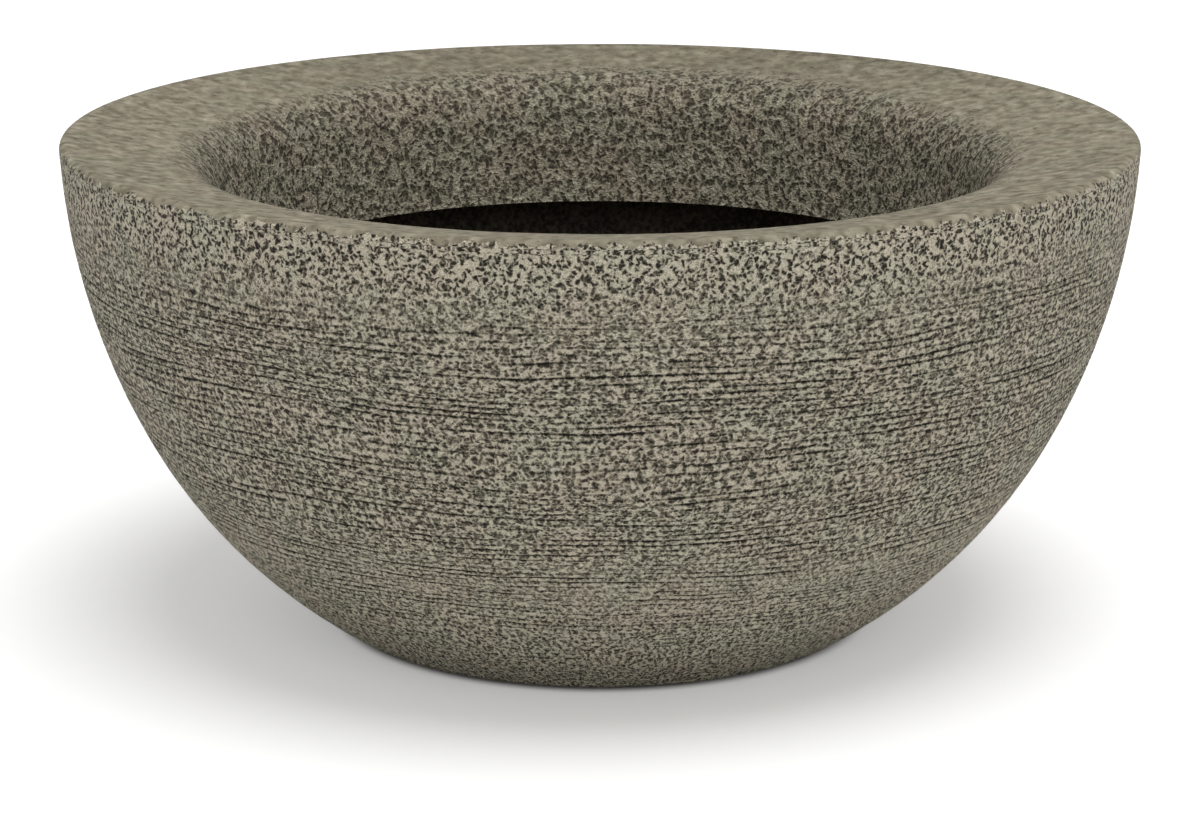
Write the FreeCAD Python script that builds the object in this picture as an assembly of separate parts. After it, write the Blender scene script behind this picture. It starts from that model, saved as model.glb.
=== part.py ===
import FreeCAD, Part
import math
import os

from FreeCAD import Vector

# Bowl planter: one hollow moulding with a rolled-in rim, four foot pads and a screw-plug drain.
# Millimetres and degrees, +Z up, origin on the floor under the centre.

# Overall
overall_height = 280.0
rim_radius = 300.0
wall = 4.5

# Outer wall: two tangent arcs that meet at the shoulder
wall_lean = 2.3
shoulder_radius_share = 0.731
shoulder_height_share = 0.427
base_radius = 150.0
base_edge_rounding = 4.0

# Rim: the top falls towards the throat and rolls over into a hanging skirt
rim_edge_rounding = 4.0
rim_width = 80.0
rim_fall = 9.4
throat_rounding = 30.0
skirt_depth = 83.0
skirt_draft = 14.0
web_allowance = 12.0

# Base: a flat foot ring round a raised centre
foot_width = 42.0
recess_depth = 28.0
recess_draft = 47.0
recess_rounding = 10.0

# Foot pads, seated in shallow sockets
pad_count = 4
pad_radius = 12.0
pad_thickness = 3.5
pad_seat = 1.5
pad_chamfer = 0.8
pad_clearance = 0.2

# Drain fitting through the raised centre
drain_bore_radius = 9.5
spigot_wall = 3.7
spigot_clearance = 0.5
spigot_tail = 2.0
flange_width = 10.8
flange_thickness = 3.0
flange_chamfer = 1.0
gasket_thickness = 2.0
nut_height = 6.0
nut_wall = 6.0
nut_chamfer = 1.2
nut_clearance = 0.1
nut_sides = 6

# Drain plug and its seal
plug_clearance = 0.1
plug_shank_length = 13.0
plug_shank_chamfer = 1.0
plug_head_overhang = 1.3
plug_head_thickness = 3.5
plug_head_chamfer = 1.0
plug_grip_thickness = 5.0
plug_grip_height = 4.0
plug_grip_rounding = 1.2
seal_thickness = 2.0
seal_clearance = 0.1

# Strainer cap that drops over the flange
strainer_wall = 2.2
strainer_clearance = 0.4
strainer_brim = 9.0
strainer_headroom = 11.0
strainer_rounding = 3.0
slot_count = 12
slot_width = 4.0
slot_margin = 1.6
hole_count = 6
hole_radius = 2.6
pull_neck_radius = 3.2
pull_neck_height = 4.0
pull_radius = 6.0
pull_height = 4.0
pull_chamfer = 1.2

# One overrun serves every cutter, one tolerance every search for an edge
overrun = 1.0
tolerance = 0.0001

axis_foot = Vector(0, 0, 0)
up = Vector(0, 0, 1)

foot_z = pad_thickness - pad_seat
rim_z = overall_height
lip_z = rim_z - skirt_depth
web_z = lip_z - web_allowance
plateau_z = foot_z + recess_depth
floor_z = plateau_z + wall
recess_radius = base_radius - foot_width
pad_ring_radius = (recess_radius + base_radius) / 2
spigot_radius = drain_bore_radius + spigot_wall
drain_hole_radius = spigot_radius + spigot_clearance
flange_radius = spigot_radius + flange_width
flange_z = floor_z + gasket_thickness
flange_top_z = flange_z + flange_thickness
nut_z = plateau_z - nut_height
spigot_end_z = nut_z - spigot_tail
seal_z = spigot_end_z - seal_thickness
plug_shank_radius = drain_bore_radius - plug_clearance
plug_head_radius = spigot_radius + plug_head_overhang
strainer_inner_radius = flange_radius + strainer_clearance
strainer_radius = strainer_inner_radius + strainer_wall
strainer_ceiling_z = flange_top_z + strainer_headroom
strainer_top_z = strainer_ceiling_z + strainer_wall


def at(radius, z):
    return Vector(radius, 0, z)


def heading(down_angle):
    """Unit heading towards the axis, at an angle below the horizontal."""
    angle = math.radians(down_angle)
    return at(-math.cos(angle), -math.sin(angle))


def line(start, end):
    return Part.makeLine(start, end)


def arc(start, middle, end):
    return Part.Arc(start, middle, end).toShape()


def arc_round(centre, radius, start, end):
    """Arc from start to end about a known centre, the short way."""
    outwards = (start - centre + end - centre).normalize()
    return arc(start, centre + outwards * radius, end)


def arc_from(start, leaving, end):
    """Arc that leaves start along a heading and passes through end, with its heading there."""
    chord = end - start
    along = Vector(chord).normalize()
    bulge = (leaving - along * leaving.dot(along)).normalize()
    rise = chord.Length / 2 * math.tan(leaving.getAngle(along) / 2)
    arriving = along * (2 * leaving.dot(along)) - leaving
    return arc(start, start + chord / 2 + bulge * rise, end), arriving


def rounded(corner, arriving, leaving, radius):
    """Rounding of a corner between two straight runs: its start, its arc and its end."""
    half_turn = arriving.getAngle(leaving) / 2
    setback = radius * math.tan(half_turn)
    inwards = (leaving - arriving).normalize()
    middle = corner + inwards * (radius / math.cos(half_turn) - radius)
    start = corner - arriving * setback
    end = corner + leaving * setback
    return start, arc(start, middle, end), end


def revolved(outline):
    return Part.Face(outline).revolve(axis_foot, up, 360)


def tube(inner_radius, outer_radius, z, height):
    outer = Part.makeCylinder(outer_radius, height, at(0, z))
    bore = Part.makeCylinder(inner_radius, height + 2 * overrun, at(0, z - overrun))
    return outer.cut(bore)


def edges_at(shape, radius, z):
    """Circular edges of a turned shape at one radius and height."""
    return [
        edge for edge in shape.Edges
        if isinstance(edge.Curve, Part.Circle)
        and math.isclose(edge.Curve.Radius, radius, abs_tol=tolerance)
        and math.isclose(edge.Curve.Center.z, z, abs_tol=tolerance)
    ]


def around(shape, count, first_angle=0.0):
    """Copies of a shape, evenly spaced about the axis."""
    copies = []
    for index in range(count):
        copy = shape.copy()
        copy.rotate(axis_foot, up, first_angle + 360 * index / count)
        copies.append(copy)
    return copies


def rim_edge():
    """Centre of the rounding along the rim's outer edge."""
    return at(rim_radius - rim_edge_rounding, rim_z - rim_edge_rounding)


def crown_start():
    """Where the rim's sloping top leaves that rounding."""
    fall = math.radians(rim_fall)
    return rim_edge() + at(-math.sin(fall), math.cos(fall)) * rim_edge_rounding


def throat_corner():
    """Where the lines of the rim's top and of the skirt meet."""
    start = crown_start()
    radius = rim_radius - rim_width
    return at(radius, start.z - (start.x - radius) * math.tan(math.radians(rim_fall)))


def skirt_at(z):
    """Point of the skirt's throat side at a height."""
    corner = throat_corner()
    return at(corner.x - (corner.z - z) * math.tan(math.radians(skirt_draft)), z)


def mould_outline(axis_radius):
    """Closed outline of the moulding before its web is cut out, from the rim edge down and round."""
    lean = math.radians(wall_lean)
    wall_top = rim_edge() + at(math.cos(lean), -math.sin(lean)) * rim_edge_rounding
    shoulder = at(
        base_radius + shoulder_radius_share * (rim_radius - base_radius),
        foot_z + shoulder_height_share * (rim_z - foot_z),
    )
    upper_wall, falling = arc_from(wall_top, heading(90 - wall_lean), shoulder)

    # The lower arc also touches the rounding of the base edge
    base_edge = at(base_radius, foot_z + base_edge_rounding)
    inwards = Vector(falling.z, 0, -falling.x)
    reach = shoulder - base_edge
    spare = reach.dot(inwards) + base_edge_rounding
    lower_radius = (base_edge_rounding ** 2 - reach.dot(reach)) / (2 * spare)
    lower_centre = shoulder + inwards * lower_radius
    wall_foot = base_edge + (base_edge - lower_centre).normalize() * base_edge_rounding
    lower_wall, _ = arc_from(shoulder, falling, wall_foot)
    foot_outer = at(base_radius, foot_z)

    recess_corner = at(recess_radius, foot_z)
    plateau_corner = at(recess_radius - recess_depth * math.tan(math.radians(recess_draft)), plateau_z)
    level = heading(0)
    climbing = (plateau_corner - recess_corner).normalize()
    recess_start, recess_foot, slope_start = rounded(recess_corner, level, climbing, recess_rounding)
    slope_end, plateau_edge, plateau_start = rounded(plateau_corner, climbing, level, recess_rounding)
    plateau_end = at(axis_radius, plateau_z)

    crown_end, throat, skirt_start = rounded(
        throat_corner(), heading(rim_fall), heading(90 - skirt_draft), throat_rounding
    )
    skirt_end = skirt_at(web_z)
    web_end = at(axis_radius, web_z)

    return Part.Wire([
        upper_wall,
        lower_wall,
        arc_round(base_edge, base_edge_rounding, wall_foot, foot_outer),
        line(foot_outer, recess_start),
        recess_foot,
        line(slope_start, slope_end),
        plateau_edge,
        line(plateau_start, plateau_end),
        line(plateau_end, web_end),
        line(web_end, skirt_end),
        line(skirt_end, skirt_start),
        throat,
        line(crown_end, crown_start()),
        arc_round(rim_edge(), rim_edge_rounding, crown_start(), wall_top),
    ])


def make_bowl_shell():
    # The cavity is the outline drawn in by the wall; started past the axis, it ends on the axis
    shell = revolved(mould_outline(0)).cut(revolved(mould_outline(-wall).makeOffset2D(-wall)))

    # The web that closes the throat in the mould is routed out level with the lip
    web_cut_radius = skirt_at(lip_z).x + 2 * wall
    web_cut_z = web_z - wall - overrun
    shell = shell.cut(Part.makeCylinder(web_cut_radius, lip_z - web_cut_z, at(0, web_cut_z)))

    shell = shell.cut(Part.makeCylinder(drain_hole_radius, wall + 2 * overrun, at(0, plateau_z - overrun)))
    socket = Part.makeCylinder(
        pad_radius + pad_clearance, pad_seat + overrun, at(pad_ring_radius, foot_z - overrun)
    )
    for cutter in around(socket, pad_count, 180 / pad_count):
        shell = shell.cut(cutter)
    return shell


def make_foot_pads():
    pad = Part.makeCylinder(pad_radius, pad_thickness, at(pad_ring_radius, 0))
    tread = [
        edge for edge in pad.Edges
        if isinstance(edge.Curve, Part.Circle) and math.isclose(edge.Curve.Center.z, 0, abs_tol=tolerance)
    ]
    return Part.makeCompound(around(pad.makeChamfer(pad_chamfer, tread), pad_count, 180 / pad_count))


def make_drain_flange():
    flange = Part.makeCylinder(flange_radius, flange_thickness, at(0, flange_z))
    spigot = Part.makeCylinder(spigot_radius, flange_z - spigot_end_z, at(0, spigot_end_z))
    body = flange.fuse(spigot).removeSplitter()
    body = body.makeChamfer(flange_chamfer, edges_at(body, flange_radius, flange_top_z))
    bore_length = flange_top_z - spigot_end_z + 2 * overrun
    return body.cut(Part.makeCylinder(drain_bore_radius, bore_length, at(0, spigot_end_z - overrun)))


def make_flange_gasket():
    return tube(drain_hole_radius, flange_radius, floor_z, gasket_thickness)


def make_drain_locknut():
    flat_radius = spigot_radius + nut_wall
    corner_radius = flat_radius / math.cos(math.pi / nut_sides)
    corners = [
        Vector(
            corner_radius * math.cos(2 * math.pi * index / nut_sides),
            corner_radius * math.sin(2 * math.pi * index / nut_sides),
            nut_z,
        )
        for index in range(nut_sides)
    ]
    prism = Part.Face(Part.makePolygon(corners + corners[:1])).extrude(up * nut_height)
    # A cone takes the lower corners off
    cone_height = nut_height + corner_radius
    blank = Part.makeCone(
        flat_radius + nut_chamfer, flat_radius + nut_chamfer + cone_height, cone_height, at(0, nut_z)
    )
    bore = Part.makeCylinder(spigot_radius + nut_clearance, nut_height + 2 * overrun, at(0, nut_z - overrun))
    return prism.common(blank).cut(bore)


def make_plug_seal():
    return tube(plug_shank_radius + seal_clearance, spigot_radius, seal_z, seal_thickness)


def make_drain_plug():
    head_z = seal_z - plug_head_thickness
    head = Part.makeCylinder(plug_head_radius, plug_head_thickness, at(0, head_z))
    head = head.makeChamfer(plug_head_chamfer, edges_at(head, plug_head_radius, head_z))
    shank_top_z = seal_z + plug_shank_length
    shank = Part.makeCylinder(plug_shank_radius, plug_shank_length, at(0, seal_z))
    shank = shank.makeChamfer(plug_shank_chamfer, edges_at(shank, plug_shank_radius, shank_top_z))
    # The grip is a bar across the head with its lower edges eased
    grip_length = 2 * (plug_head_radius - plug_head_chamfer) - plug_grip_thickness
    grip_z = head_z - plug_grip_height
    bar = Part.makeBox(
        grip_length,
        plug_grip_thickness,
        plug_grip_height,
        Vector(-grip_length / 2, -plug_grip_thickness / 2, grip_z),
    )
    lower_edges = [edge for edge in bar.Edges if math.isclose(edge.BoundBox.ZMax, grip_z, abs_tol=tolerance)]
    return head.fuse([shank, bar.makeFillet(plug_grip_rounding, lower_edges)]).removeSplitter()


def make_drain_strainer():
    brim = Part.makeCylinder(strainer_radius + strainer_brim, strainer_wall, at(0, floor_z))
    crown = Part.makeCylinder(strainer_radius, strainer_top_z - floor_z, at(0, floor_z))
    crown = crown.makeFillet(strainer_rounding, edges_at(crown, strainer_radius, strainer_top_z))
    hollow = Part.makeCylinder(
        strainer_inner_radius, strainer_ceiling_z - floor_z + overrun, at(0, floor_z - overrun)
    )
    cap = brim.fuse(crown).removeSplitter().cut(hollow)

    slot_z = flange_top_z + slot_margin
    slot = Part.makeBox(
        2 * strainer_wall + 2 * overrun,
        slot_width,
        strainer_ceiling_z - slot_margin - slot_z,
        Vector(strainer_inner_radius - overrun, -slot_width / 2, slot_z),
    )
    hole_ring_radius = (pull_radius + strainer_radius - strainer_rounding) / 2
    hole = Part.makeCylinder(
        hole_radius, strainer_wall + 2 * overrun, at(hole_ring_radius, strainer_ceiling_z - overrun)
    )
    for cutter in around(slot, slot_count) + around(hole, hole_count):
        cap = cap.cut(cutter)

    pull_z = strainer_top_z + pull_neck_height
    neck = Part.makeCylinder(pull_neck_radius, pull_neck_height + pull_height / 2, at(0, strainer_top_z))
    knob = Part.makeCylinder(pull_radius, pull_height, at(0, pull_z))
    knob_edges = edges_at(knob, pull_radius, pull_z) + edges_at(knob, pull_radius, pull_z + pull_height)
    knob = knob.makeChamfer(pull_chamfer, knob_edges)
    return cap.fuse([neck, knob]).removeSplitter()


nodes = {
    "bowl_shell": make_bowl_shell,
    "foot_pads": make_foot_pads,
    "drain_flange": make_drain_flange,
    "flange_gasket": make_flange_gasket,
    "drain_locknut": make_drain_locknut,
    "plug_seal": make_plug_seal,
    "drain_plug": make_drain_plug,
    "drain_strainer": make_drain_strainer,
}

os.makedirs("parts", exist_ok=True)
for name, make in nodes.items():
    shape = make()
    box = shape.BoundBox
    print(
        f"{name}: {len(shape.Solids)} solid(s), valid {shape.isValid()}, {shape.Volume / 1000:.1f} cm3, "
        f"x {box.XMin:.2f} to {box.XMax:.2f}, z {box.ZMin:.2f} to {box.ZMax:.2f}"
    )
    shape.exportStep(f"parts/{name}.step")
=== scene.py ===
import math

import bpy
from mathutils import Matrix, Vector, kdtree, noise


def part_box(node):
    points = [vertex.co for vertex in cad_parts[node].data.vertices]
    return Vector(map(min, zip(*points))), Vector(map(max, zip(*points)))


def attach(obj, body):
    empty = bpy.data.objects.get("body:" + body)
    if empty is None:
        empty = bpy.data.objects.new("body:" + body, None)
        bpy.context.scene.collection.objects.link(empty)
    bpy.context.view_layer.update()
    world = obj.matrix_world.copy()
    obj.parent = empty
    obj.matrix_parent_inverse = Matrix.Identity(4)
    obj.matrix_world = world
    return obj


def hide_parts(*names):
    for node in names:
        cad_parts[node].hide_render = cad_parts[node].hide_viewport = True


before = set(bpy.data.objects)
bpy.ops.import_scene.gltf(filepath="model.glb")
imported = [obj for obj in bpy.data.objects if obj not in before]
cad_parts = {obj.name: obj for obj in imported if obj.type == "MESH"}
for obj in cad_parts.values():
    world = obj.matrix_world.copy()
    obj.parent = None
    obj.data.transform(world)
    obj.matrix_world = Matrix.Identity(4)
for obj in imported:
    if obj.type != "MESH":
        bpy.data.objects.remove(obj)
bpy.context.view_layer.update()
print("frame loaded:", len(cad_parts), "nodes")

mm = 0.001


def deselect():
    if bpy.context.mode != "OBJECT":
        bpy.ops.object.mode_set(mode="OBJECT")
    bpy.ops.object.select_all(action="DESELECT")


def smoothStep(low, high, value):
    share = min(1, max(0, (value - low) / (high - low)))
    return share * share * (3 - 2 * share)


# Node trees

def newMaterial(name):
    material = bpy.data.materials.new(name)
    material.use_nodes = True
    tree = material.node_tree
    return material, tree, tree.nodes["Principled BSDF"]


def feed(tree, socket, value):
    if isinstance(value, bpy.types.NodeSocket):
        tree.links.new(value, socket)
    else:
        socket.default_value = value


def addNode(tree, kind, inputs=(), **settings):
    made = tree.nodes.new("ShaderNode" + kind)
    for name, value in settings.items():
        setattr(made, name, value)
    for socket, value in dict(inputs).items():
        feed(tree, made.inputs[socket], value)
    return made


def maths(tree, operation, first, second=0.0, clamp=False):
    made = addNode(tree, "Math", {0: first, 1: second}, operation=operation, use_clamp=clamp)
    return made.outputs[0]


def spread(tree, value, fromLow, fromHigh, toLow=0.0, toHigh=1.0, smooth=True):
    made = addNode(
        tree,
        "MapRange",
        {0: value, 1: fromLow, 2: fromHigh, 3: toLow, 4: toHigh},
        interpolation_type="SMOOTHSTEP" if smooth else "LINEAR",
    )
    return made.outputs[0]


def grain(tree, place, scale, detail=2.0, roughness=0.5, distortion=0.0):
    made = addNode(
        tree,
        "TexNoise",
        {
            "Vector": place,
            "Scale": scale,
            "Detail": detail,
            "Roughness": roughness,
            "Distortion": distortion,
        },
    )
    return made.outputs[0]


def stretched(tree, place, around, along):
    made = addNode(tree, "Mapping", {"Vector": place, "Scale": (around, along, 1)})
    return made.outputs[0]


def blend(tree, share, first, second, kind="MIX"):
    made = addNode(tree, "Mix", data_type="RGBA", blend_type=kind)
    feed(tree, made.inputs[0], share)
    feed(tree, made.inputs[6], first)
    feed(tree, made.inputs[7], second)
    return made.outputs[2]


def ramp(tree, value, stops):
    made = addNode(tree, "ValToRGB", {0: value})
    band = made.color_ramp.elements
    while len(band) < len(stops):
        band.new(1.0)
    for element, (place, colour) in zip(band, stops):
        element.position = place
        element.color = (*colour, 1)
    return made.outputs[0]


def relief(tree, shader, height, strength, distance):
    made = addNode(tree, "Bump", {"Height": height, "Strength": strength, "Distance": distance})
    tree.links.new(made.outputs[0], shader.inputs["Normal"])


# Bowl: one turned profile, drawn down the outside, through the drain hole and back up the inside

bowl = {
    "wall": 4.5 * mm,
    "columns": 168,
    "wallRows": 222,
    "wallLean": 2.3,  # degrees off the vertical at the rim
    "shoulder": (259.65 * mm, 120.7 * mm),
    "upperCurve": 376.9 * mm,
    "lowerCurve": 299.6 * mm,
    "baseRadius": 150 * mm,
    "baseRounding": 4 * mm,
    "rimRounding": 4 * mm,
    "rimWidth": 80 * mm,
    "rimFall": 9.4,
    "throatRounding": 30 * mm,
    "skirtDepth": 83 * mm,
    "skirtDraft": 14,
    "footWidth": 42 * mm,
    "recessDepth": 28 * mm,
    "recessDraft": 47,
    "recessRounding": 10 * mm,
    "drainHole": 13.7 * mm,
    "footNormal": (0.533, -0.846),  # the wall's outward direction at the foot and at the shoulder
    "shoulderNormal": (0.892, -0.452),
    "combPitch": 3.8 * mm,
    "slowWave": (7, 26, 1.7),  # how lines wander: scale round the bowl, scale down the wall, lines
    "quickWave": (45, 60, 0.3),
    "lineScale": 18,
    "lineStep": 3.71,
    "lineFade": (-0.2, 0.38),
    "combDepth": 0.6 * mm,
    "combHalf": (0.2 * mm, 1.4 * mm),  # flat bottom and full half width of a groove
    "combStart": (14 * mm, 60 * mm),
    "combEnd": (220 * mm, 310 * mm),
    "combLeft": 0.55,  # share of the comb that is left at the base
    "lumpDepth": 0.3 * mm,
    "lumpScale": 95,
    "lumpStart": (2 * mm, 14 * mm),
    "rimWave": 0.3 * mm,
    "rimWaveScale": 22,
    "rimWaveStart": 8 * mm,
    "widensFrom": 0.19,
    "widens": 0.7,
    "wrapRadius": 250 * mm,  # the pattern is wrapped round a cylinder of this radius
    "seam": math.radians(170),
    "innerEdge": 1.02,  # walls from the rim's top down to the inner skin's edge
    "mergeDistance": 0.02 * mm,
    "smoothAngle": 50,
}

pen = {"at": None, "zones": []}


def rz(radius, height):
    return Vector((radius, 0, height))


def penDown(start):
    deselect()
    bpy.ops.mesh.primitive_plane_add(size=bowl["wall"])
    bpy.context.object.name = "bowl"
    bpy.ops.object.mode_set(mode="EDIT")
    bpy.ops.mesh.select_all(action="SELECT")
    bpy.ops.mesh.merge(type="CENTER")
    bpy.ops.transform.translate(value=start)
    pen["at"] = start
    pen["zones"] = ["wall"]


def penRun(end, rows, zone):
    step = (end - pen["at"]) / rows
    for row in range(rows):
        bpy.ops.mesh.extrude_region_move(TRANSFORM_OT_translate={"value": step})
    pen["at"] = end
    pen["zones"] += [zone] * rows


def penArc(end, radius, rows, zone):
    chord = end - pen["at"]
    half = chord.length / 2
    side = Vector((chord.z, 0, -chord.x)).normalized()  # centre to the right for a positive radius
    reach = math.copysign(math.sqrt(radius ** 2 - half ** 2), radius)
    centre = pen["at"] + chord / 2 + side * reach
    turn = 2 * math.asin(half / radius)
    bpy.ops.mesh.spin(steps=rows, angle=turn, center=centre, axis=(0, -1, 0))
    pen["at"] = end
    pen["zones"] += [zone] * rows


def heading(downAngle):
    angle = math.radians(downAngle)
    return rz(-math.cos(angle), -math.sin(angle))


def behind(along):
    return rz(-along.z, along.x)


def cornerArc(corner, arriving, leaving, radius):
    turn = arriving.angle(leaving)
    setback = radius * math.tan(turn / 2)
    return corner - arriving * setback, corner + leaving * setback


def drawBowl():
    wall = bowl["wall"]
    shellLow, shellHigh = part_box("bowl_shell")
    rimRadius, rimTop, foot = shellHigh.x, shellHigh.z, shellLow.z
    lean = math.radians(bowl["wallLean"])
    fall = math.radians(bowl["rimFall"])
    rounding = bowl["rimRounding"]
    edge = rz(rimRadius - rounding, rimTop - rounding)
    wallTop = edge + rz(math.cos(lean), -math.sin(lean)) * rounding
    crownStart = edge + rz(-math.sin(fall), math.cos(fall)) * rounding
    shoulder = rz(*bowl["shoulder"])
    baseEdge = rz(bowl["baseRadius"], foot + bowl["baseRounding"])
    wallFoot = baseEdge + rz(*bowl["footNormal"]) * bowl["baseRounding"]
    plateau = foot + bowl["recessDepth"]
    level = heading(0)
    recessCorner = rz(bowl["baseRadius"] - bowl["footWidth"], foot)
    climb = bowl["recessDepth"] * math.tan(math.radians(bowl["recessDraft"]))
    plateauCorner = rz(recessCorner.x - climb, plateau)
    climbing = (plateauCorner - recessCorner).normalized()
    rounded = bowl["recessRounding"]
    recessStart, slopeStart = cornerArc(recessCorner, level, climbing, rounded)
    slopeEnd, plateauStart = cornerArc(plateauCorner, climbing, level, rounded)

    penDown(wallTop)
    penArc(shoulder, bowl["upperCurve"], bowl["wallRows"], "wall")
    penArc(wallFoot, bowl["lowerCurve"], bowl["wallRows"], "wall")
    penArc(rz(bowl["baseRadius"], foot), bowl["baseRounding"], 3, "under")
    penRun(recessStart, 3, "under")
    penArc(slopeStart, rounded, 4, "under")
    penRun(slopeEnd, 2, "under")
    penArc(plateauStart, -rounded, 4, "under")
    penRun(rz(bowl["drainHole"], plateau), 4, "under")
    penRun(rz(bowl["drainHole"], plateau + wall), 1, "inside")
    penRun(plateauStart - behind(level) * wall, 4, "inside")
    penArc(slopeEnd - behind(climbing) * wall, rounded + wall, 4, "inside")
    penRun(slopeStart - behind(climbing) * wall, 2, "inside")
    penArc(recessStart - behind(level) * wall, wall - rounded, 4, "inside")
    penRun(rz(bowl["baseRadius"], foot + wall), 3, "inside")
    innerShoulder = shoulder - rz(*bowl["shoulderNormal"]) * wall
    penArc(innerShoulder, wall - bowl["lowerCurve"], 14, "inside")
    penArc(rz(rimRadius - wall, rimTop - wall * bowl["innerEdge"]), wall - bowl["upperCurve"], 14, "inside")

    alongRim, downSkirt = heading(bowl["rimFall"]), heading(90 - bowl["skirtDraft"])
    throatRadius = rimRadius - bowl["rimWidth"]
    throat = rz(throatRadius, crownStart.z - (crownStart.x - throatRadius) * math.tan(fall))
    crownEnd, skirtTop = cornerArc(throat, alongRim, downSkirt, bowl["throatRounding"])
    innerCrown = crownEnd + behind(alongRim) * wall
    innerSkirt = skirtTop + behind(downSkirt) * wall
    lip = rimTop - bowl["skirtDepth"]
    skirtEnd = throat + downSkirt * ((throat.z - lip) / -downSkirt.z)
    penRun(innerCrown, 3, "inside")
    penArc(innerSkirt, -(bowl["throatRounding"] - wall), 8, "inside")
    innerLip = innerSkirt + downSkirt * ((innerSkirt.z - lip) / -downSkirt.z)
    penRun(innerLip, 5, "inside")
    penRun(skirtEnd, 2, "lip")
    penRun(skirtTop, 20, "skirt")
    penArc(crownEnd, bowl["throatRounding"], 16, "throat")
    penRun(crownStart, 20, "rim")
    penArc(wallTop, bowl["rimRounding"], 5, "rim")
    bpy.ops.object.mode_set(mode="OBJECT")
    return bpy.context.object


def spinBowl(piece):
    bpy.ops.object.mode_set(mode="EDIT")
    bpy.ops.mesh.select_all(action="SELECT")
    bpy.ops.mesh.spin(steps=bowl["columns"], angle=2 * math.pi, center=(0, 0, 0), axis=(0, 0, 1))
    bpy.ops.mesh.select_all(action="SELECT")
    bpy.ops.mesh.remove_doubles(threshold=bowl["mergeDistance"])
    bpy.ops.mesh.normals_make_consistent(inside=False)
    bpy.ops.object.mode_set(mode="OBJECT")


def runsAlong(profile, zones):
    # distance from the rim's edge: it grows down the wall and is below 0 on the rim and skirt
    steps = [(b - a).length for a, b in zip(profile, profile[1:])]
    runs, total = [0.0], 0.0
    for step in steps:
        total += step
        runs.append(total)
    backwards = ("lip", "skirt", "throat", "rim")
    return [run - total if zone in backwards else run for run, zone in zip(runs, zones)]


def patternRun(run):
    # the pattern widens towards the base
    low = max(0, run - bowl["widensFrom"])
    return run - bowl["widens"] * low * low


def combStrength(run):
    fading = (1 - bowl["combLeft"]) * smoothStep(*bowl["combEnd"], run)
    return smoothStep(*bowl["combStart"], run) * (1 - fading)


def combPattern(around, run):
    # phase counts the comb's lines down the wall, strength fades each line in and out along its length
    slowRound, slowDown, slowLines = bowl["slowWave"]
    quickRound, quickDown, quickLines = bowl["quickWave"]
    slow = noise.noise(Vector((around.x * slowRound, around.y * slowRound, run * slowDown)))
    quick = noise.noise(Vector((around.x * quickRound + 9, around.y * quickRound, run * quickDown + 3)))
    phase = patternRun(run) / bowl["combPitch"] + slowLines * slow + quickLines * quick
    along = around * bowl["lineScale"]
    drawn = noise.noise(Vector((along.x, along.y, math.floor(phase) * bowl["lineStep"])))
    return phase, smoothStep(*bowl["lineFade"], drawn) * combStrength(run)


def wrapBowl(mesh, turns, runs):
    # the pattern's map: round the axis and down the wall, in metres
    layer = mesh.uv_layers.new(name="wrap")
    for face in mesh.polygons:
        corners = [turns[index] for index in face.vertices]
        over = max(corners) - min(corners) > math.pi
        for loop, index, turn in zip(face.loop_indices, face.vertices, corners):
            turn += 2 * math.pi if over and turn < math.pi else 0
            layer.data[loop].uv = (turn * bowl["wrapRadius"], runs[index])


def roughenBowl(piece, profile, zones):
    mesh = piece.data
    tree = kdtree.KDTree(len(profile))
    for index, point in enumerate(profile):
        tree.insert(point, index)
    tree.balance()
    runs = runsAlong(profile, zones)
    turns, heights, combs, insides = [], [], [], []
    places = [v.co.copy() for v in mesh.vertices]
    normals = [v.normal.copy() for v in mesh.vertices]
    for vertex, place, normal in zip(mesh.vertices, places, normals):
        radius = math.hypot(place.x, place.y)
        outwards = Vector((place.x / radius, place.y / radius, 0))
        index = tree.find(rz(radius, place.z))[1]
        zone, run = zones[index], runs[index]
        around = outwards * bowl["wrapRadius"]
        phase, strength, sink = 0.0, 0.0, 0.0
        if zone == "wall":
            phase, strength = combPattern(around, run)
            offLine = abs(phase % 1 - 0.5) * bowl["combPitch"]
            groove = 1 - smoothStep(*bowl["combHalf"], offLine)
            lumps = 0.5 + 0.5 * noise.noise(place * bowl["lumpScale"])
            fade = smoothStep(*bowl["lumpStart"], run)
            sink = fade * (bowl["combDepth"] * strength * groove + bowl["lumpDepth"] * lumps)
        elif zone in ("rim", "throat", "skirt"):
            waves = 0.5 + 0.5 * noise.noise(place * bowl["rimWaveScale"])
            sink = bowl["rimWave"] * waves * smoothStep(0, bowl["rimWaveStart"], -run)
        turns.append((math.atan2(place.y, place.x) - bowl["seam"]) % (2 * math.pi))
        heights.append(patternRun(run))
        combs += [phase, strength, zone == "under"]
        insides.append(zone == "inside")
        vertex.co = place - normal * sink
    layer = mesh.attributes.new("comb", "FLOAT_VECTOR", "POINT")
    layer.data.foreach_set("vector", combs)
    wrapBowl(mesh, turns, heights)
    return insides


bowlPiece = drawBowl()
profile = [v.co.copy() for v in bowlPiece.data.vertices]
closing = round((profile[-1] - profile[0]).length / mm, 4)
print("profile:", len(profile), "points, closes to", closing, "mm")
spinBowl(bowlPiece)
insides = roughenBowl(bowlPiece, profile, pen["zones"])
print("bowl:", len(bowlPiece.data.polygons) * 2, "triangles")


# Finishes

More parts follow.
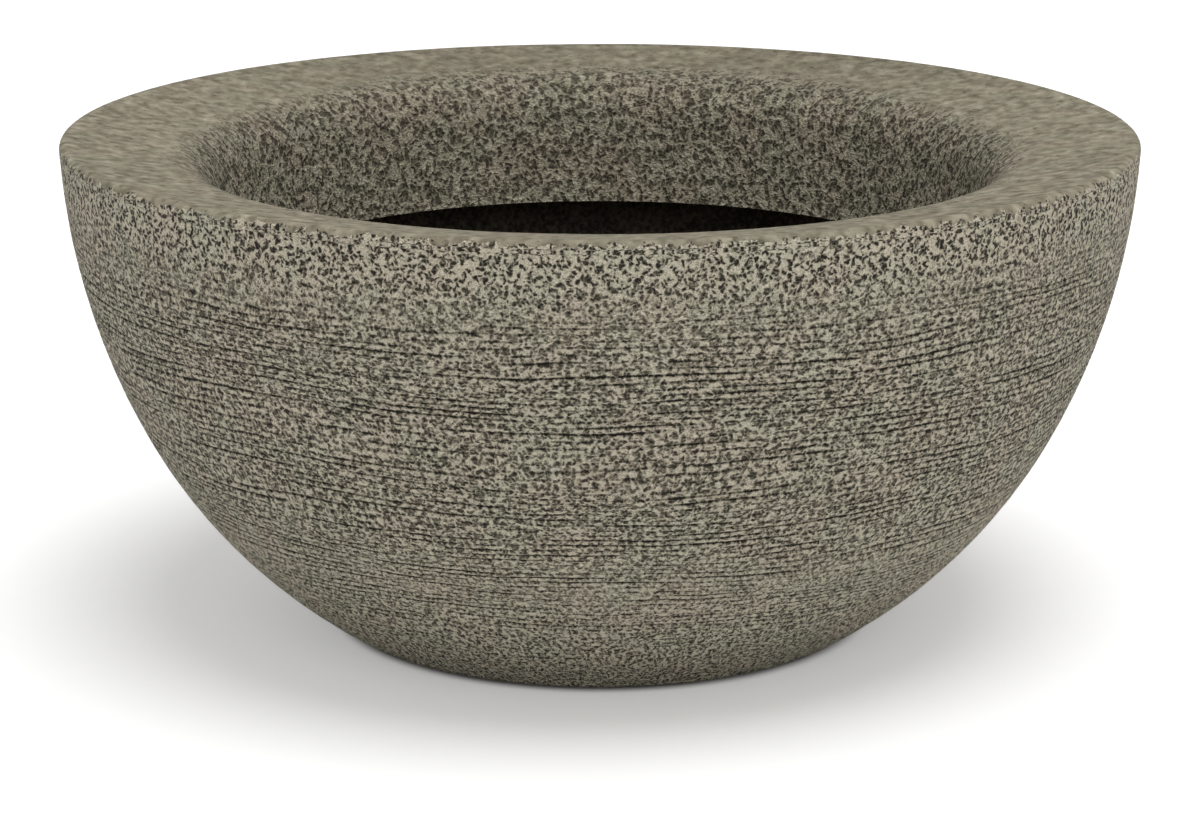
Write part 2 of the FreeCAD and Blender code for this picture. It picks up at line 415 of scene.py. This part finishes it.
stone = {
    "dark": (0.016, 0.013, 0.008),
    "shade": (0.081, 0.071, 0.050),
    "body": (0.208, 0.187, 0.138),
    "light": (0.382, 0.351, 0.274),
    "bright": (0.790, 0.730, 0.592),
    "green": (0.985, 1.0, 0.945, 1),
    "rose": (1.03, 0.988, 0.95, 1),
    "flakeScale": 330,
    "skirtScale": 198,
    "drawnScale": 390,
    "lowScale": 380,
    "gritScale": 600,
    "cloudScale": 110,
    "streakScale": 400,
    "faintScale": 260,
    "mottleScale": 150,
    "speckScale": 260,
    "patchScale": 34,
    "raggedScale": 160,
    "ragged": 14 * mm,  # how far the rim's edges wander
    "rimEdge": (-2.8 * mm, -0.6 * mm),  # places from here on are distances down the wall
    "wallStart": (-20 * mm, -19 * mm),
    "combStart": (12 * mm, 60 * mm),
    "paintedLightStart": (160 * mm, 270 * mm),
    "lowStart": (170 * mm, 250 * mm),
    "crispStart": (190 * mm, 300 * mm),
    "linesEnd": (230 * mm, 310 * mm),
    "linesLeft": 0.35,  # share of the lines that is left near the base
    "paintedFootShade": (265 * mm, 330 * mm),
    "throatEdge": (56 * mm, 88 * mm),  # distance in from the rim's edge
    "farShadeAndThroatSpan": (100 * mm, 260 * mm),  # distance behind the axis: the rim gets painted shade there and the throat's speckle reaches further out
    "farShift": 16 * mm,
    "roughness": 0.82,
    "specular": 0.3,
    "reliefDepth": 3.4 * mm,
}


pits = {
    "shakeScale": 0.7,  # scales and the shake are shares of the pits' own scale and spacing
    "shake": 1.8,
    "randomness": 0.9,
    "unevenScale": 0.75,
    "uneven": 1.3,
}


def pitted(tree, place, scale, near, far):
    # dark winding pits, evenly strewn but of uneven size, with a pale net between them
    shake = addNode(
        tree,
        "TexNoise",
        {"Vector": place, "Scale": scale * pits["shakeScale"], "Detail": 1.0},
        noise_dimensions="2D",
    ).outputs["Color"]
    shaken = addNode(
        tree, "VectorMath", {0: shake, 1: (0.5, 0.5, 0.5)}, operation="SUBTRACT"
    ).outputs[0]
    moved = addNode(
        tree,
        "VectorMath",
        {0: shaken, 1: (pits["shake"] / scale,) * 3, 2: place},
        operation="MULTIPLY_ADD",
    ).outputs[0]
    reach = addNode(
        tree,
        "TexVoronoi",
        {"Vector": moved, "Scale": scale, "Randomness": pits["randomness"]},
        feature="F1",
        voronoi_dimensions="2D",
    ).outputs["Distance"]
    uneven = grain(tree, place, scale * pits["unevenScale"], 2.0, 0.6)
    reach = weighted(tree, (reach, 1.0), (centred(tree, uneven), pits["uneven"]))
    return spread(tree, reach, near, far)


def weighted(tree, *terms):
    # sum of values, each times its weight
    total = None
    for value, weight in terms:
        part = maths(tree, "MULTIPLY", value, weight)
        total = part if total is None else maths(tree, "ADD", total, part)
    return total


def centred(tree, value):
    return maths(tree, "SUBTRACT", value, 0.5)


def mixed(tree, share, first, second):
    return addNode(tree, "Mix", {0: share, 2: first, 3: second}).outputs[0]


def stoneFinish():
    material, tree, shader = newMaterial("combed_stone")
    place = addNode(tree, "TexCoord").outputs["Object"]
    wrap = addNode(tree, "UVMap", uv_map="wrap").outputs[0]
    comb = addNode(tree, "Attribute", attribute_name="comb").outputs["Vector"]
    wrapped = addNode(tree, "SeparateXYZ", {0: wrap})
    run = wrapped.outputs["Y"]
    lines = addNode(tree, "SeparateXYZ", {0: comb})
    phase, strength, beneath = (lines.outputs[axis] for axis in "XYZ")

    # masks: the quiet rim lies between the wall and the speckled throat
    wander = grain(tree, place, stone["raggedScale"], 3.0, 0.6)
    ragged = maths(tree, "MULTIPLY", centred(tree, wander), stone["ragged"])
    below = spread(tree, maths(tree, "ADD", run, ragged), *stone["rimEdge"])
    farShadeAndThroat = spread(tree, addNode(tree, "SeparateXYZ", {0: place}).outputs["Y"], *stone["farShadeAndThroatSpan"])
    inwards = weighted(tree, (ragged, 2.0), (run, -1.0), (farShadeAndThroat, stone["farShift"]))
    inThroat = spread(tree, inwards, *stone["throatEdge"])
    rough = maths(tree, "MAXIMUM", below, inThroat)
    rough = maths(tree, "SUBTRACT", rough, beneath, clamp=True)
    combed = spread(tree, run, *stone["combStart"])
    onWall = spread(tree, run, *stone["wallStart"])

    # flakes with dark gaps, drawn out a little along the comb lower down
    combRun = maths(tree, "MULTIPLY", phase, bowl["combPitch"])
    wavy = addNode(tree, "CombineXYZ", {0: wrapped.outputs["X"], 1: combRun}).outputs[0]
    grit = grain(tree, place, stone["gritScale"], 2.0, 0.6)
    flakes = pitted(tree, stretched(tree, wrap, 1.25, 1.0), stone["flakeScale"], 0.04, 0.52)
    wideFlakes = pitted(tree, stretched(tree, wrap, 1.1, 1.0), stone["skirtScale"], 0.05, 0.60)
    drawn = pitted(tree, stretched(tree, wavy, 0.95, 1.0), stone["drawnScale"], 0.05, 0.65)
    lowDrawn = pitted(tree, stretched(tree, wavy, 0.98, 1.0), stone["lowScale"], 0.05, 0.65)
    drawn = mixed(tree, spread(tree, run, *stone["lowStart"]), drawn, lowDrawn)
    cloud = grain(tree, place, stone["cloudScale"], 2.0)
    streaks = grain(tree, stretched(tree, wavy, 0.05, 1.0), stone["streakScale"], 1.0, 0.5)

    # the comb's lines: painted shade darkens the valley, a painted highlight makes the ridge pale
    offLine = maths(tree, "ABSOLUTE", centred(tree, maths(tree, "FRACT", phase)))
    faint = grain(tree, stretched(tree, wavy, 0.25, 1.0), stone["faintScale"], 1.0)
    faint = spread(tree, faint, 0.38, 0.62)
    line = maths(tree, "MAXIMUM", strength, maths(tree, "MULTIPLY", faint, 0.7))
    lined = spread(tree, run, *stone["linesEnd"], 1.0, stone["linesLeft"])
    line = maths(tree, "MULTIPLY", line, lined)
    streaks = maths(tree, "MULTIPLY", centred(tree, streaks), lined)
    valleyShade = maths(tree, "MULTIPLY", spread(tree, offLine, 0.05, 0.20, 1.0, 0.0), line)
    ridgeHighlight = maths(tree, "MULTIPLY", spread(tree, offLine, 0.2, 0.4), line)

    speckle = mixed(tree, onWall, wideFlakes, flakes)
    speckle = maths(tree, "MULTIPLY", speckle, mixed(tree, onWall, 0.42, 0.94))
    # the skirt and throat get a higher offset, partly to keep their mean with weaker speckle and partly
    # painted light making up for the shade under the rim
    plain = weighted(tree, (speckle, 1.0), (mixed(tree, onWall, 1.44, 0.60), 0.2))
    crisp = maths(tree, "MULTIPLY", centred(tree, drawn), spread(tree, run, *stone["crispStart"]))
    barked = weighted(
        tree,
        (drawn, 0.74),
        (crisp, 0.34),
        (streaks, 0.4),
        # painted shade in the comb's valleys and painted highlight along their ridges
        (valleyShade, -0.56),
        (ridgeHighlight, 0.12),
        # painted light: the lower wall is made paler in place of light it lacks
        (spread(tree, run, *stone["paintedLightStart"]), 0.12),
        # painted shade: darker towards the foot, next to the floor
        (spread(tree, run, *stone["paintedFootShade"]), -0.12),
        (1.0, 0.345),
    )
    tone = mixed(tree, combed, plain, barked)
    gritty = maths(tree, "MULTIPLY", centred(tree, grit), mixed(tree, onWall, 0.9, 1.6))
    tone = weighted(
        tree,
        (tone, 1.0),
        (centred(tree, cloud), 0.3),
        (gritty, 1.0),
        (1.0, -0.03),
    )
    mottle = grain(tree, place, stone["mottleScale"], 2.0, 0.55)
    specks = spread(tree, grain(tree, place, stone["speckScale"], 1.0), 0.66, 0.74)
    quiet = weighted(
        tree,
        (centred(tree, mottle), 0.60),
        (specks, -0.16),
        (centred(tree, cloud), 0.4),
        # painted shade: the rim is darker on its far side, behind the axis
        (maths(tree, "MULTIPLY", farShadeAndThroat, mottle), -0.13),
        (1.0, 0.56),
    )
    calm = weighted(tree, (quiet, 0.4), (1.0, 0.336))  # less relief on the rim
    height = mixed(tree, rough, calm, tone)
    tone = mixed(tree, rough, quiet, tone)

    colour = ramp(tree, tone, [
        (0.05, stone["dark"]),
        (0.26, stone["shade"]),
        (0.48, stone["body"]),
        (0.70, stone["light"]),
        (1.0, stone["bright"]),
    ])
    patches = grain(tree, place, stone["patchScale"], 2.0)
    tint = blend(tree, spread(tree, patches, 0.35, 0.65), stone["green"], stone["rose"])
    colour = blend(tree, 1.0, colour, tint, "MULTIPLY")
    tree.links.new(colour, shader.inputs["Base Color"])
    shader.inputs["Roughness"].default_value = stone["roughness"]
    shader.inputs["Specular IOR Level"].default_value = stone["specular"]
    relief(tree, shader, height, 1.0, stone["reliefDepth"])
    return material


# painted shade: the inner skin is the stone's speckle coloured dark, standing in for the shade inside the
# hollow shell
insideShadeSkin = {
    "name": "inside_painted_shade",
    "colour": (0.042, 0.039, 0.036),
    "worn": (0.170, 0.142, 0.105),
    "scale": 330,
    "roughness": 0.85,
    "specular": 0.2,
    "reliefDepth": 0.8 * mm,
}

blackPlastic = {
    "name": "moulded_black",
    "colour": (0.016, 0.016, 0.016),
    "worn": (0.03, 0.03, 0.029),
    "scale": 900,
    "roughness": 0.42,
    "roughnessSpread": 0.08,
    "specular": 0.4,
    "reliefDepth": 0.2 * mm,
}

blackRubber = {
    "name": "matte_rubber",
    "colour": (0.012, 0.012, 0.012),
    "worn": (0.024, 0.023, 0.022),
    "scale": 1400,
    "roughness": 0.75,
    "roughnessSpread": 0.08,
    "specular": 0.4,
    "reliefDepth": 0.2 * mm,
}


def speckFinish(values):
    material, tree, shader = newMaterial(values["name"])
    place = addNode(tree, "TexCoord").outputs["Object"]
    fine = grain(tree, place, values["scale"], 2.0, 0.6)
    coarse = grain(tree, place, values["scale"] * 0.12, 2.0)
    speck = weighted(tree, (fine, 0.8), (coarse, 0.3))
    colour = ramp(tree, speck, [(0.45, values["colour"]), (0.68, values["worn"])])
    tree.links.new(colour, shader.inputs["Base Color"])
    shader.inputs["Roughness"].default_value = values["roughness"]
    shader.inputs["Specular IOR Level"].default_value = values["specular"]
    relief(tree, shader, speck, 0.4, values["reliefDepth"])
    return material


def blackFinish(values):
    material, tree, shader = newMaterial(values["name"])
    place = addNode(tree, "TexCoord").outputs["Object"]
    cloud = grain(tree, place, values["scale"] * 0.1, 3.0)
    pebble = grain(tree, place, values["scale"], 2.0)
    colour = ramp(tree, cloud, [(0.35, values["colour"]), (0.65, values["worn"])])
    tree.links.new(colour, shader.inputs["Base Color"])
    smoothest = values["roughness"] - values["roughnessSpread"]
    roughest = values["roughness"] + values["roughnessSpread"]
    roughness = spread(tree, cloud, 0.3, 0.7, smoothest, roughest)
    tree.links.new(roughness, shader.inputs["Roughness"])
    shader.inputs["Specular IOR Level"].default_value = values["specular"]
    relief(tree, shader, pebble, 0.3, values["reliefDepth"])
    return material


def paint(piece, material):
    piece.data.materials.clear()
    piece.data.materials.append(material)


stoneSkin = stoneFinish()
paint(bowlPiece, stoneSkin)
# painted shade: the dark inner skin goes on the inside faces
bowlPiece.data.materials.append(speckFinish(insideShadeSkin))
for face in bowlPiece.data.polygons:
    if all(insides[corner] for corner in face.vertices):
        face.material_index = 1
deselect()
bowlPiece.select_set(True)
bpy.context.view_layer.objects.active = bowlPiece
bpy.ops.object.shade_smooth_by_angle(angle=math.radians(bowl["smoothAngle"]))
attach(bowlPiece, "planter")
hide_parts("bowl_shell")

plasticFinish = blackFinish(blackPlastic)
rubberFinish = blackFinish(blackRubber)
for name in ("drain_flange", "drain_locknut", "drain_plug", "drain_strainer"):
    paint(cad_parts[name], plasticFinish)
for name in ("foot_pads", "flange_gasket", "plug_seal"):
    paint(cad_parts[name], rubberFinish)
print("finishes on")


# Stage

stage = {
    "floorSize": 14,
    "floorWhite": (0.93, 0.93, 0.93, 1),
    "floorRoughness": 0.9,
    "floorLift": 0.31,
    "shaded": (0.146, 0.157),  # painted shadow: no lift under the base, where no light comes
    "skyLight": 0.38,
    "keyStrength": 1.7,
    "keySoftness": 36,
    "keyTilt": (10, 6, 0),
    "fillStrength": 0.4,
    "fillSoftness": 50,
    "fillTilt": (70, 0, 12),
}


def layFloor():
    deselect()
    bpy.ops.mesh.primitive_plane_add(size=stage["floorSize"])
    floor = bpy.context.object
    floor.name = "floor"
    material, tree, shader = newMaterial("floor_white")
    shader.inputs["Base Color"].default_value = stage["floorWhite"]
    shader.inputs["Roughness"].default_value = stage["floorRoughness"]
    shader.inputs["Specular IOR Level"].default_value = 0.0
    shader.inputs["Emission Color"].default_value = (1, 1, 1, 1)
    rays = addNode(tree, "LightPath").outputs
    seen = maths(tree, "MAXIMUM", rays["Is Camera Ray"], rays["Is Glossy Ray"])
    place = addNode(tree, "TexCoord").outputs["Object"]
    reach = addNode(tree, "VectorMath", {0: place}, operation="LENGTH").outputs["Value"]
    # painted shadow: the lift fades out under the base, so the floor there stays darker
    liftAndPaintedShadow = spread(tree, reach, *stage["shaded"], 0.0, stage["floorLift"])
    tree.links.new(maths(tree, "MULTIPLY", seen, liftAndPaintedShadow), shader.inputs["Emission Strength"])
    paint(floor, material)


def lightStage():
    world = bpy.data.worlds.new("studio")
    bpy.context.scene.world = world
    world.use_nodes = True
    tree = world.node_tree
    sky = tree.nodes["Background"]
    rays = addNode(tree, "LightPath").outputs
    seen = maths(tree, "MAXIMUM", rays["Is Camera Ray"], rays["Is Transmission Ray"])
    strength = spread(tree, seen, 0.0, 1.0, stage["skyLight"], 1.0, smooth=False)
    sky.inputs["Color"].default_value = (1, 1, 1, 1)
    tree.links.new(strength, sky.inputs["Strength"])
    for name in ("key", "fill"):
        bpy.ops.object.light_add(type="SUN")
        light = bpy.context.object
        light.name = name + "_light"
        light.data.energy = stage[name + "Strength"]
        light.data.angle = math.radians(stage[name + "Softness"])
        light.rotation_euler = [math.radians(angle) for angle in stage[name + "Tilt"]]


view = {
    "eye": (0, -2.036, 0.655),
    "tilt": 75.1,
    "lens": 110.64,
    "sensor": 36,
    "farthest": 100,
}


def setCamera():
    bpy.ops.object.camera_add(location=view["eye"], rotation=(math.radians(view["tilt"]), 0, 0))
    camera = bpy.context.object
    camera.data.lens = view["lens"]
    camera.data.sensor_width = view["sensor"]
    camera.data.clip_end = view["farthest"]
    bpy.context.scene.camera = camera


layFloor()
lightStage()
setCamera()
bpy.context.scene.view_settings.view_transform = "Standard"
print("stage set")
